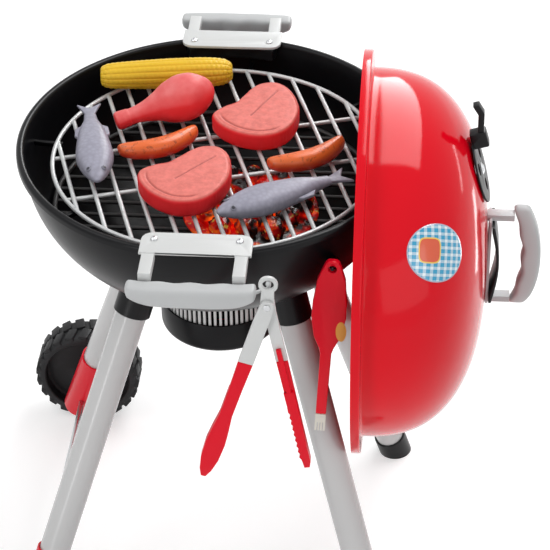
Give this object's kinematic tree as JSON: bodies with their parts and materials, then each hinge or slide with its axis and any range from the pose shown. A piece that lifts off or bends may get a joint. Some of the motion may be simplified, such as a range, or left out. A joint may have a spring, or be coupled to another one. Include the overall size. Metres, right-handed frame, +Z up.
{
  "type": "toy barbecue grill",
  "caption": "Toy kettle barbecue on wheeled tube legs, its red lid hung on the rim, with grates, glowing coals, tongs, basting brush and play food.",
  "frame": {"origin": "middle of the overall box, on the floor", "axes": "+Z up, +X towards the hanging lid, -Y towards the near handle with the tongs; the axle lies along Y"},
  "size_m": [0.527, 0.4616, 0.5665],
  "materials": {
    "black_plastic": "slightly glossy moulded black",
    "white_plastic": "satin off-white moulding",
    "grey_plastic": "satin light-grey moulding",
    "grip_plastic": "satin mid-grey moulding",
    "dark_grey_plastic": "dark grey moulding",
    "red_plastic": "glossy red moulding",
    "lid_red_plastic": "high-gloss red",
    "steel": "plain steel",
    "battery_sleeve": "dark printed sleeve without print",
    "circuit_board": "green lacquered board",
    "glowing_coal_plastic": "see-through orange-red, dark on the lumps' tops",
    "brush_tip_plastic": "pale soft plastic",
    "corn_plastic": "yellow",
    "drumstick_plastic": "roast red-brown",
    "steak_plastic": "pink-red",
    "sausage_plastic": "orange-brown",
    "fish_plastic": "grey-lilac"
  },
  "bodies": {
    "grill": {"ash_dish": "black_plastic", "axle": "steel", "axle_cap_far": "black_plastic", "axle_cap_near": "black_plastic", "battery_case": "black_plastic", "battery_cell_far": "battery_sleeve", "battery_cell_near": "battery_sleeve", "battery_cover": "black_plastic", "bowl": "black_plastic", "charcoal_grate": "dark_grey_plastic", "foot_cap_front_right": "black_plastic", "foot_cap_rear_right": "black_plastic", "glowing_coals": "glowing_coal_plastic", "handle_bracket_far": "white_plastic", "handle_bracket_near": "white_plastic", "handle_grip_far": "grip_plastic", "handle_grip_near": "grip_plastic", "handle_screw_far_1": "steel", "handle_screw_far_2": "steel", "handle_screw_near_1": "steel", "handle_screw_near_2": "steel", "lamp_board": "circuit_board", "leg_front_left": "grey_plastic", "leg_front_right": "grey_plastic", "leg_rear_left": "grey_plastic", "leg_rear_right": "grey_plastic", "leg_sleeve_front_left": "red_plastic", "leg_sleeve_rear_left": "red_plastic", "leg_socket_front_left": "black_plastic", "leg_socket_front_right": "black_plastic", "leg_socket_rear_left": "black_plastic", "leg_socket_rear_right": "black_plastic", "slotted_collar": "white_plastic"},
    "wheel_near": {"wheel_near": "black_plastic"},
    "wheel_far": {"wheel_far": "black_plastic"},
    "lid": {"lid_shell": "lid_red_plastic", "lid_hook": "grey_plastic", "lid_bracket": "white_plastic", "lid_grip": "grip_plastic", "lid_heat_shield": "black_plastic", "vent_rivet": "steel"},
    "vent": {"vent_damper": "black_plastic"},
    "cooking_grate": {"cooking_grate": "grey_plastic"},
    "tongs": {"tongs_yoke": "white_plastic", "tongs_pin": "steel"},
    "tongs_arm_left": {"tongs_arm_left": "white_plastic", "tongs_tip_left": "red_plastic"},
    "tongs_arm_right": {"tongs_arm_right": "white_plastic", "tongs_tip_right": "red_plastic"},
    "brush": {"brush_handle": "red_plastic", "brush_tip": "brush_tip_plastic"},
    "light_button": {"light_button": "red_plastic"},
    "corn": {"corn": "corn_plastic"},
    "drumstick": {"drumstick": "drumstick_plastic"},
    "steak_left": {"steak_left": "steak_plastic"},
    "steak_right": {"steak_right": "steak_plastic"},
    "sausage_left": {"sausage_left": "sausage_plastic"},
    "sausage_right": {"sausage_right": "sausage_plastic"},
    "fish_left": {"fish_left": "fish_plastic"},
    "fish_right": {"fish_right": "fish_plastic"}
  },
  "joints": [
    {"name": "wheel_near_spin", "type": "hinge", "parent": "grill", "child": "wheel_near", "pos_m": [-0.20669, -0.208, 0.057], "axis": [0, 1, 0], "continuous": true},
    {"name": "wheel_far_spin", "type": "hinge", "parent": "grill", "child": "wheel_far", "pos_m": [-0.20669, 0.208, 0.057], "axis": [0, 1, 0], "continuous": true},
    {"name": "lid_lift", "type": "slide", "parent": "grill", "child": "lid", "axis": [0.3419, 0, 0.9397], "range_m": [0, 0.32]},
    {"name": "vent_turn", "type": "hinge", "parent": "lid", "child": "vent", "pos_m": [0.20347, 0, 0.4755], "axis": [0.9578, 0, 0.2875], "range_deg": [-45, 45]},
    {"name": "cooking_grate_lift", "type": "slide", "parent": "grill", "child": "cooking_grate", "axis": [0, 0, 1], "range_m": [0, 0.04]},
    {"name": "tongs_unhook", "type": "slide", "parent": "grill", "child": "tongs", "axis": [0, -0.9063, 0.4226], "range_m": [0, 0.1]},
    {"name": "tongs_left_close", "type": "hinge", "parent": "tongs", "child": "tongs_arm_left", "pos_m": [0.02881, -0.2225, 0.48453], "axis": [0, -1, 0], "range_deg": [0, 9.4], "stiffness_Nm_per_rad": 0.05, "springref_deg": -17.19},
    {"name": "tongs_right_close", "type": "hinge", "parent": "tongs", "child": "tongs_arm_right", "pos_m": [0.02881, -0.2225, 0.48453], "axis": [0, -1, 0], "range_deg": [-9.4, 0], "stiffness_Nm_per_rad": 0.05, "springref_deg": 17.19},
    {"name": "brush_unhook", "type": "slide", "parent": "grill", "child": "brush", "axis": [0, -0.9063, 0.4226], "range_m": [0, 0.1]},
    {"name": "light_button_press", "type": "slide", "parent": "grill", "child": "light_button", "axis": [0, 0, 1], "range_m": [0, 0.0025], "stiffness_N_per_m": 200, "springref_m": -0.002},
    {"name": "corn_lift", "type": "slide", "parent": "cooking_grate", "child": "corn", "axis": [0, 0, 1], "range_m": [0, 0.12]},
    {"name": "drumstick_lift", "type": "slide", "parent": "cooking_grate", "child": "drumstick", "axis": [0, 0, 1], "range_m": [0, 0.12]},
    {"name": "steak_left_lift", "type": "slide", "parent": "cooking_grate", "child": "steak_left", "axis": [0, 0, 1], "range_m": [0, 0.12]},
    {"name": "steak_right_lift", "type": "slide", "parent": "cooking_grate", "child": "steak_right", "axis": [0, 0, 1], "range_m": [0, 0.12]},
    {"name": "sausage_left_lift", "type": "slide", "parent": "cooking_grate", "child": "sausage_left", "axis": [0, 0, 1], "range_m": [0, 0.12]},
    {"name": "sausage_right_lift", "type": "slide", "parent": "cooking_grate", "child": "sausage_right", "axis": [0, 0, 1], "range_m": [0, 0.12]},
    {"name": "fish_left_lift", "type": "slide", "parent": "cooking_grate", "child": "fish_left", "axis": [0, 0, 1], "range_m": [0, 0.12]},
    {"name": "fish_right_lift", "type": "slide", "parent": "cooking_grate", "child": "fish_right", "axis": [0, 0, 1], "range_m": [0, 0.12]}
  ],
  "couplings": [
    {"joint": "tongs_right_close", "follows": "tongs_left_close", "ratio": -1}
  ]
}
